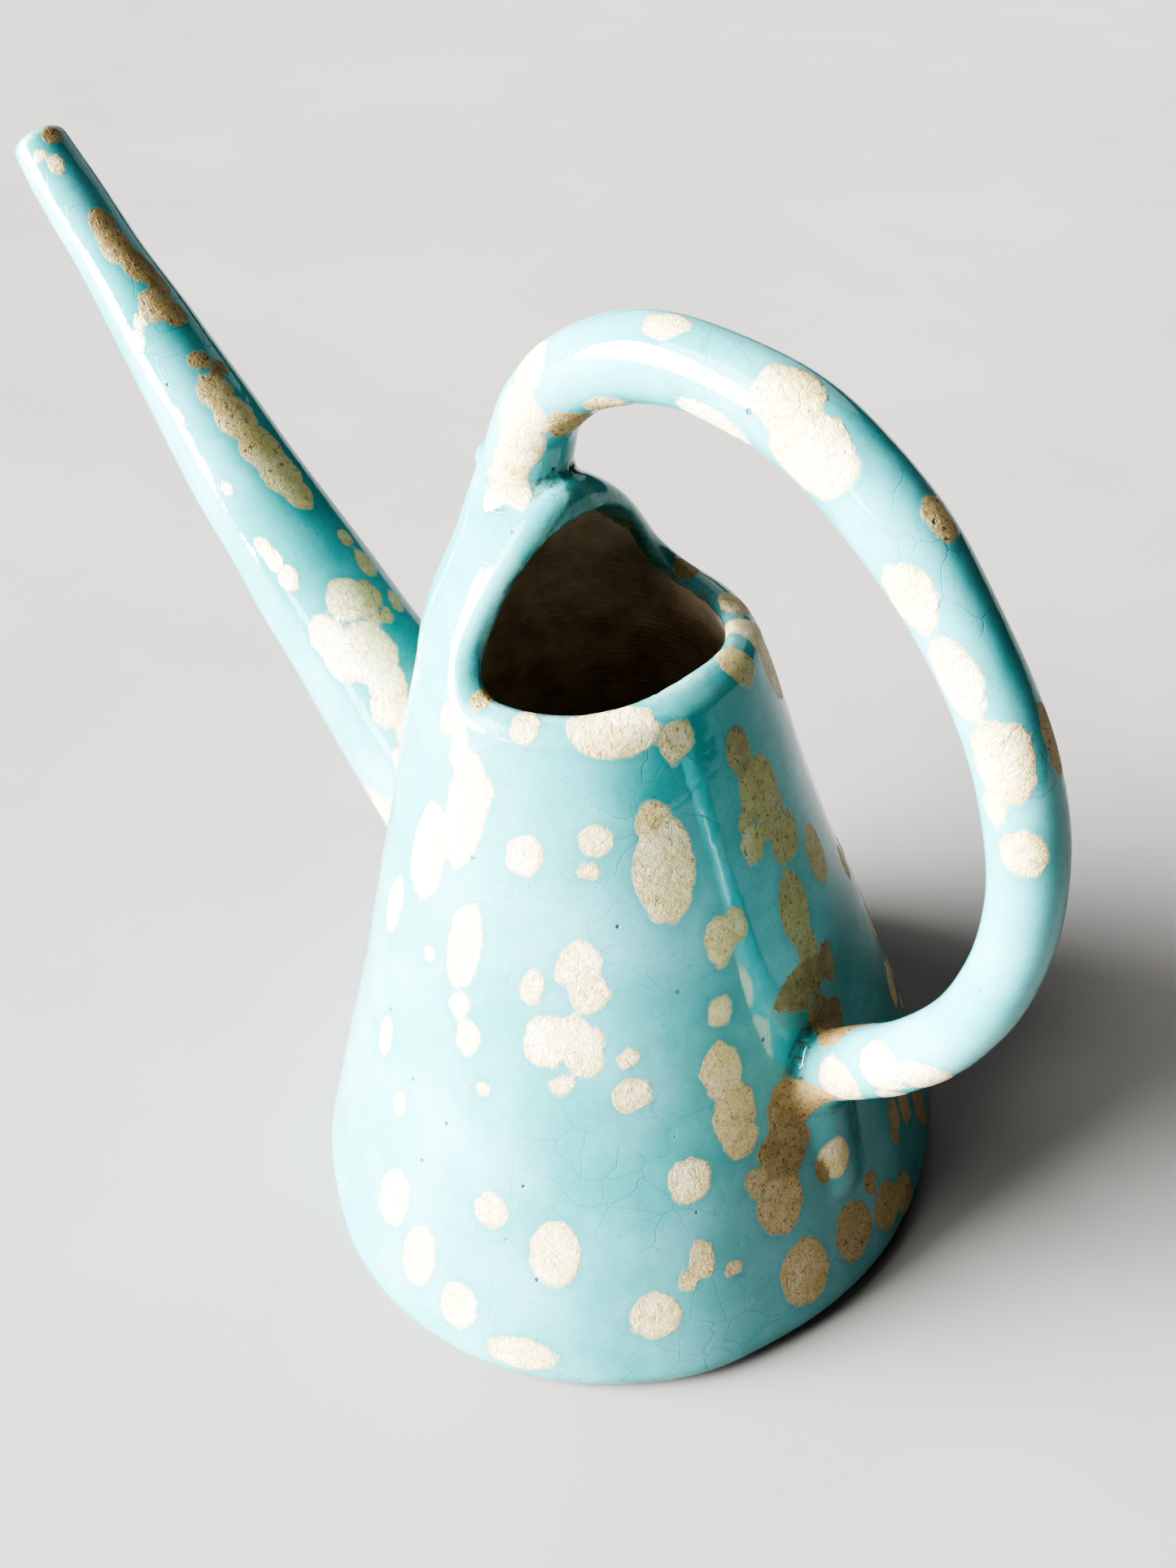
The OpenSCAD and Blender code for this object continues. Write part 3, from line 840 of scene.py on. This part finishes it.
TEAL = (0.06, 0.295, 0.29, 1)
TEAL_PALE = (0.15, 0.41, 0.44, 1)
TEAL_DEEP = (0.018, 0.15, 0.135, 1)
THIN_GLAZE = (0.42, 0.55, 0.47, 1)
CREAM = (0.72, 0.62, 0.35, 1)
CREAM_WHITE = (0.82, 0.76, 0.59, 1)
OLIVE = (0.42, 0.35, 0.13, 1)
OCHRE = (0.46, 0.29, 0.11, 1)
BROWN = (0.11, 0.055, 0.022, 1)
CLAY = (0.60, 0.48, 0.36, 1)
CLAY_DARK = (0.36, 0.26, 0.18, 1)
SLIP = (0.66, 0.60, 0.50, 1)


def ceramic():
    """Glossy turquoise glaze, matte cream patches, and bare clay inside and under the foot."""
    material = bpy.data.materials.new("glazed_earthenware")
    material.use_nodes = True
    n = Nodes(material)
    where = n.add("ShaderNodeTexCoord").outputs["Object"]
    patch = n.attribute("patch")
    brown_and_shade = n.attribute("brown_and_shade")
    bare = n.attribute("bare")
    curve = n.attribute("curve")

    # Ragged outline of the patches: slow lobes and a fine broken edge
    lobes = n.noise(where, 260, 2.0)
    frayed = n.noise(where, 1500, 4.0, 0.65)
    scallop = n.voronoi(where, 380, "SMOOTH_F1").outputs["Distance"]
    wander = n.math("ADD", n.math("MULTIPLY", n.math("SUBTRACT", lobes, 0.5), 2.4),
                    n.math("MULTIPLY", n.math("SUBTRACT", frayed, 0.5), 0.5))
    wander = n.math("ADD", wander, n.math("MULTIPLY", n.math("SUBTRACT", 0.6, scallop), 0.9))
    depth = n.math("ADD", patch, wander)
    inside = n.ramp(depth, -0.45, 0.45)
    halo = n.ramp(depth, -2.6, -0.1)
    ring = n.math("MULTIPLY", n.ramp(depth, 1.3, 0.0), inside)

    # Turquoise: pools of deeper and paler glaze, a fine mist of specks, and a net of hairline cracks
    pools = n.noise(where, 32, 4.0, 0.6)
    mist = n.noise(where, 1300, 5.0, 0.75)
    glaze = n.mix(n.ramp(pools, 0.3, 0.75), TEAL, TEAL_PALE)
    glaze = n.mix(n.math("MULTIPLY", n.ramp(mist, 0.54, 0.72), 0.5), glaze, TEAL_DEEP)
    glaze = n.mix(n.math("MULTIPLY", halo, 0.14), glaze, TEAL_DEEP)
    shift = n.add("ShaderNodeTexNoise", {"Vector": where, "Scale": 150.0, "Detail": 2.0}).outputs["Color"]
    small = n.add("ShaderNodeVectorMath", {0: shift, "Scale": 0.004}, operation="SCALE").outputs[0]
    bent = n.add("ShaderNodeVectorMath", {0: where, 1: small}, operation="ADD")
    net = n.voronoi(bent.outputs[0], 115, "DISTANCE_TO_EDGE").outputs["Distance"]
    crack = n.math("MULTIPLY", n.ramp(net, 0.016, 0.004), n.ramp(n.noise(where, 45, 2.0), 0.42, 0.6))
    glaze = n.mix(n.math("MULTIPLY", crack, 0.25), glaze, (0.03, 0.12, 0.12, 1))

    # Pinholes with a brown rim, few and scattered
    cells = n.voronoi(where, 260, "F1")
    chosen = n.ramp(n.add("ShaderNodeSeparateColor", {0: cells.outputs["Color"]}).outputs[0], 0.93, 0.95)
    pin = n.math("MULTIPLY", n.ramp(cells.outputs["Distance"], 0.16, 0.09), chosen)
    glaze = n.mix(n.math("MULTIPLY", pin, 0.8), glaze, (0.02, 0.06, 0.05, 1))

    # Glaze runs dark and crusty into hollows, and thin over sharp edges; the dark, crusty band at the mouth
    # is partly glaze and partly painted shade
    pooled = n.ramp(curve, -0.05, -0.28)
    # Darkening near the mouth's edge: partly glaze, partly painted shade
    mouth_glaze_and_shade = n.math("MULTIPLY", n.ramp(bare, -7.0, -1.0), n.ramp(n.noise(where, 160, 4.0, 0.7), 0.3, 0.6))
    brown_crust_and_shade = n.math("MULTIPLY", n.math("MAXIMUM", pooled, n.math("MULTIPLY", mouth_glaze_and_shade, 0.5)),
                   n.ramp(n.noise(where, 1000, 4.0, 0.75), 0.5, 0.6))
    worn = n.ramp(n.noise(where, 130, 4.0, 0.7), 0.35, 0.62)
    thinned = n.math("MULTIPLY", n.ramp(curve, 0.17, 0.34), worn)
    # Deep teal in hollows, and at the mouth partly as painted shade
    glaze = n.mix(n.math("MULTIPLY", n.math("MAXIMUM", pooled, mouth_glaze_and_shade), 0.5), glaze, TEAL_DEEP)
    glaze = n.mix(n.math("MULTIPLY", thinned, 0.25), glaze, THIN_GLAZE)
    glaze = n.mix(n.math("MULTIPLY", brown_crust_and_shade, 0.85), glaze, BROWN)

    # Cream: grainy, crazed, rimmed with ochre, and freckled with brown; the patch's brownness, which turns it
    # toward olive, ochre and brown, is partly its own tone and partly painted shade
    grain = n.noise(where, 900, 6.0, 0.7)
    cloud = n.noise(where, 120, 3.0)
    cream = n.mix(n.ramp(cloud, 0.35, 0.7), CREAM, CREAM_WHITE)
    mottle = n.noise(where, 420, 4.0, 0.65)
    cream = n.mix(n.math("MULTIPLY", n.ramp(mottle, 0.45, 0.7), 0.55), cream, OLIVE)
    cream = n.mix(n.math("MULTIPLY", n.ramp(grain, 0.5, 0.72), 0.45), cream, OCHRE)
    cream = n.mix(n.math("MULTIPLY", ring, 0.4), cream, OCHRE)
    uneven = n.math("ADD", n.math("MULTIPLY", n.ramp(n.noise(where, 210, 5.0, 0.7), 0.3, 0.7), 0.5), 0.5)
    # Painted shade in part: the patch brownness read here darkens patches turned from the window light, on
    # top of their own browning
    cream = n.mix(n.math("MULTIPLY", brown_and_shade, 0.65), cream, OLIVE)
    cream = n.mix(n.math("MULTIPLY", n.math("MULTIPLY", brown_and_shade, uneven), 0.7), cream, OCHRE)
    dark_brown_and_shade = n.math("MULTIPLY", n.ramp(brown_and_shade, 0.7, 1.0), uneven)
    cream = n.mix(n.math("MULTIPLY", dark_brown_and_shade, 0.6), cream, BROWN)
    freckle = n.math("MULTIPLY", n.ramp(n.noise(where, 950, 3.0, 0.8), 0.56, 0.64), n.math("ADD", brown_and_shade, 0.1))
    cream = n.mix(n.math("MULTIPLY", freckle, 0.95, True), cream, BROWN)
    fine = n.voronoi(where, 420, "DISTANCE_TO_EDGE").outputs["Distance"]
    craze = n.ramp(fine, 0.035, 0.008)
    cream = n.mix(n.math("MULTIPLY", craze, 0.35), cream, OCHRE)
    surface = n.mix(inside, glaze, cream)

    # Bare clay: throwing lines inside, a toasted line where the glaze stops
    edge = n.math("ADD", bare, n.math("MULTIPLY", n.math("SUBTRACT", n.noise(where, 420, 3.0), 0.5), 1.6))
    bare_mask = n.ramp(edge, -0.12, 0.12)
    toast = n.math("MULTIPLY", n.ramp(edge, -1.6, -0.1), n.ramp(n.noise(where, 300, 3.0), 0.4, 0.65))
    surface = n.mix(n.math("MULTIPLY", toast, 0.7), surface, OCHRE)
    rings = n.add("ShaderNodeTexWave", {"Vector": where, "Scale": 190.0, "Distortion": 1.5, "Detail": 3.0,
                                        "Detail Scale": 2.0}, bands_direction="Z").outputs["Fac"]
    clay = n.mix(n.ramp(n.noise(where, 90, 5.0, 0.65), 0.3, 0.7), CLAY_DARK, CLAY)
    clay = n.mix(n.math("MULTIPLY", rings, 0.15), clay, SLIP)
    colour = n.mix(bare_mask, surface, clay)

    # Relief, in metres: patches stand up and are grainy, cracks and pinholes go in
    height = n.math("MULTIPLY", inside, 0.00007)
    wrinkle = n.noise(where, 480, 5.0, 0.6, 1.2)
    coarse = n.math("ADD", n.math("MULTIPLY", n.math("SUBTRACT", grain, 0.5), 0.00022),
                    n.math("MULTIPLY", n.math("SUBTRACT", wrinkle, 0.5), 0.0004))
    height = n.math("ADD", height, n.math("MULTIPLY", coarse, inside))
    height = n.math("SUBTRACT", height, n.math("MULTIPLY", n.math("MULTIPLY", craze, inside), 0.00006))
    height = n.math("SUBTRACT", height, n.math("MULTIPLY", pin, 0.0002))
    height = n.math("SUBTRACT", height, n.math("MULTIPLY", crack, 0.00002))
    height = n.math("ADD", height, n.math("MULTIPLY", n.noise(where, 170, 2.0), 0.00010))
    height = n.math("MULTIPLY", height, n.math("SUBTRACT", 1.0, bare_mask))
    rough_clay = n.math("ADD", n.math("MULTIPLY", rings, 0.00007),
                        n.math("MULTIPLY", n.noise(where, 1200, 5.0, 0.7), 0.00018))
    height = n.math("ADD", height, n.math("MULTIPLY", rough_clay, bare_mask))
    bump = n.add("ShaderNodeBump", {"Height": height, "Strength": 1.0, "Distance": 1.0})

    gloss = n.math("ADD", 0.05, n.math("MULTIPLY", n.ramp(mist, 0.5, 0.75), 0.07))
    matte = n.math("ADD", 0.36, n.math("MULTIPLY", grain, 0.22))
    rough = n.math("ADD", n.math("MULTIPLY", gloss, n.math("SUBTRACT", 1.0, inside)),
                   n.math("MULTIPLY", matte, inside))
    rough = n.math("ADD", n.math("MULTIPLY", rough, n.math("SUBTRACT", 1.0, bare_mask)),
                   n.math("MULTIPLY", bare_mask, 0.82))
    shader = n.add("ShaderNodeBsdfPrincipled", {"Base Color": colour, "Roughness": rough, "IOR": 1.5,
                                                "Normal": bump.outputs[0]})
    output = n.add("ShaderNodeOutputMaterial")
    n.tree.links.new(shader.outputs[0], output.inputs["Surface"])
    return material


def floor_material():
    """Plain pale floor with the faintest unevenness."""
    material = bpy.data.materials.new("pale_floor")
    material.use_nodes = True
    n = Nodes(material)
    where = n.add("ShaderNodeTexCoord").outputs["Object"]
    tone = n.ramp(n.noise(where, 6, 4.0), 0.3, 0.7)
    colour = n.mix(tone, (0.31, 0.295, 0.28, 1), (0.34, 0.325, 0.31, 1))
    shader = n.add("ShaderNodeBsdfPrincipled", {"Base Color": colour, "Roughness": 0.55})
    output = n.add("ShaderNodeOutputMaterial")
    n.tree.links.new(shader.outputs[0], output.inputs["Surface"])
    return material


# ---------------------------------------------------------------- stage


def make_floor():
    """A wide flat floor under the foot."""
    size = 6.0
    mesh = bpy.data.meshes.new("floor")
    mesh.from_pydata([(-size, -size, 0), (size, -size, 0), (size, size, 0), (-size, size, 0)], [],
                     [(0, 1, 2, 3)])
    mesh.materials.append(floor_material())
    floor = bpy.data.objects.new("floor", mesh)
    bpy.context.scene.collection.objects.link(floor)


def sun_light(name, azimuth, elevation, spread, strength, colour):
    """Soft light from far away: it comes from this direction and fills a disc spread degrees wide."""
    data = bpy.data.lights.new(name, "SUN")
    data.angle = math.radians(spread)
    data.energy = strength
    data.color = colour
    light = bpy.data.objects.new(name, data)
    bpy.context.scene.collection.objects.link(light)
    a = math.radians(azimuth)
    e = math.radians(elevation)
    source = Vector((math.cos(a) * math.cos(e), math.sin(a) * math.cos(e), math.sin(e)))
    light.rotation_euler = source.to_track_quat("Z", "Y").to_euler()


# Each light: name, azimuth and elevation in degrees, how wide it spreads, strength and colour
LIGHTS = [
    ("window", -129, 14, 42, 17.5, (0.96, 0.985, 1.0)),
    ("window_pane", -132, 13, 14, 1.6, (1.0, 1.0, 1.0)),
    ("window_edge", -92, 12, 12, 0.35, (1.0, 1.0, 1.0)),
    ("skylight", -125, 45, 30, 1.6, (0.98, 0.99, 1.0)),
    ("back_fill", 125, 35, 60, 0.45, (0.97, 0.98, 1.0)),
]
ROOM_LIGHT = 0.03
BACKDROP_LIGHT = 0.7
EXPOSURE = 0.5
LOOK = "AgX - Very High Contrast"


def make_lights():
    """A wide window on the left of the view, its brightest pane and its edge, sky and a soft fill."""
    for light in LIGHTS:
        sun_light(*light)


def make_room():
    """A dim even room that looks like a pale backdrop."""
    world = bpy.data.worlds.new("studio")
    world.use_nodes = True
    tree = world.node_tree
    room = tree.nodes["Background"]
    room.inputs["Color"].default_value = (1.0, 0.95, 0.88, 1)
    room.inputs["Strength"].default_value = ROOM_LIGHT
    backdrop = tree.nodes.new("ShaderNodeBackground")
    backdrop.inputs["Color"].default_value = (0.92, 0.91, 0.89, 1)
    backdrop.inputs["Strength"].default_value = BACKDROP_LIGHT
    path = tree.nodes.new("ShaderNodeLightPath")
    mix = tree.nodes.new("ShaderNodeMixShader")
    tree.links.new(path.outputs["Is Camera Ray"], mix.inputs[0])
    tree.links.new(room.outputs[0], mix.inputs[1])
    tree.links.new(backdrop.outputs[0], mix.inputs[2])
    tree.links.new(mix.outputs[0], tree.nodes["World Output"].inputs["Surface"])
    bpy.context.scene.world = world


CAMERA_PLACE = (0.1382, -0.1705, 0.3017)
CAMERA_HEADING = math.radians(132.2)
CAMERA_PITCH = math.radians(41.44)
FOCAL_LENGTH = 32.69
SENSOR = 36.0


def make_camera():
    """The camera looks down on the can from the handle side, with the window on its left."""
    data = bpy.data.cameras.new("camera")
    data.sensor_fit = "VERTICAL"
    data.sensor_height = SENSOR
    data.sensor_width = SENSOR
    data.lens = FOCAL_LENGTH
    data.clip_start = 0.01
    camera = bpy.data.objects.new("camera", data)
    bpy.context.scene.collection.objects.link(camera)
    forward = Vector((math.cos(CAMERA_HEADING) * math.cos(CAMERA_PITCH),
                      math.sin(CAMERA_HEADING) * math.cos(CAMERA_PITCH), -math.sin(CAMERA_PITCH)))
    right = Vector((math.sin(CAMERA_HEADING), -math.cos(CAMERA_HEADING), 0))
    up = right.cross(forward)
    turn = Matrix((right, up, -forward)).transposed().to_4x4()
    camera.matrix_world = Matrix.Translation(CAMERA_PLACE) @ turn
    bpy.context.scene.camera = camera


bpy.context.scene.view_settings.view_transform = "AgX"
bpy.context.scene.view_settings.look = LOOK
bpy.context.scene.view_settings.exposure = EXPOSURE
make_camera()
make_lights()
make_room()
make_floor()
build_can(ceramic())
